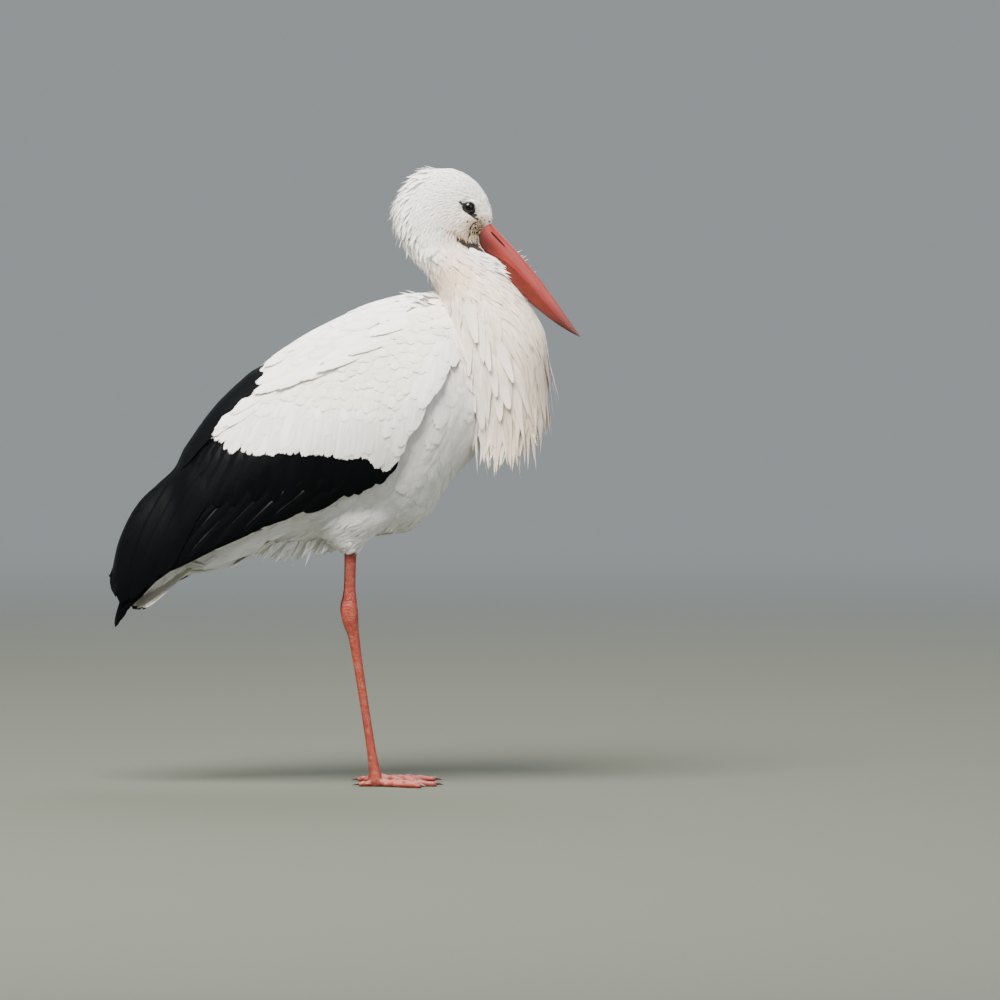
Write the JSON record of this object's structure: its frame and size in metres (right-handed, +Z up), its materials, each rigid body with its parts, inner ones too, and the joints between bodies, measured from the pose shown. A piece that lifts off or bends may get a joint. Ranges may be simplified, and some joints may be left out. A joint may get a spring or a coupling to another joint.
{
  "type": "white stork model",
  "caption": "Life-size still model of a white stork standing at rest, neck drawn in, long red bill lowered onto its breast plumes.",
  "frame": {"origin": "on the ground under the middle of the bird's box: midway between bill tip and wing tip, on the middle plane", "axes": "+X towards the bill, +Y to the bird's left, +Z up"},
  "size_m": [0.5874, 0.2118, 0.7715],
  "materials": {
    "white_feathers": "matte, soft white contour feathers",
    "plume_feathers": "matte, cream long plumes",
    "black_feathers": "low sheen, black flight feathers",
    "bill": "semi-gloss horn, red, dusky along the ridge",
    "leg_skin": "satin scaly skin, red",
    "eye": "wet gloss, very dark brown",
    "claw": "dull horn, dark brown"
  },
  "bodies": {
    "root": {"ankle_left": "leg_skin", "ankle_right": "leg_skin", "bill_lower": "bill", "bill_upper": "bill", "breast_plumes": "plume_feathers", "claw_left_hind": "claw", "claw_left_inner": "claw", "claw_left_middle": "claw", "claw_left_outer": "claw", "claw_right_hind": "claw", "claw_right_inner": "claw", "claw_right_middle": "claw", "claw_right_outer": "claw", "eye_left": "eye", "eye_right": "eye", "head": "white_feathers", "neck": "white_feathers", "shank_left": "leg_skin", "shank_right": "leg_skin", "shin_left": "leg_skin", "shin_right": "leg_skin", "tail": "white_feathers", "thigh_left": "white_feathers", "thigh_right": "white_feathers", "toe_left_hind": "leg_skin", "toe_left_inner": "leg_skin", "toe_left_middle": "leg_skin", "toe_left_outer": "leg_skin", "toe_right_hind": "leg_skin", "toe_right_inner": "leg_skin", "toe_right_middle": "leg_skin", "toe_right_outer": "leg_skin", "trunk": "white_feathers", "wing_left_coverts": "white_feathers", "wing_left_primaries": "black_feathers", "wing_left_secondaries": "black_feathers", "wing_left_tertials": "black_feathers", "wing_right_coverts": "white_feathers", "wing_right_primaries": "black_feathers", "wing_right_secondaries": "black_feathers", "wing_right_tertials": "black_feathers"}
  },
  "joints": []
}
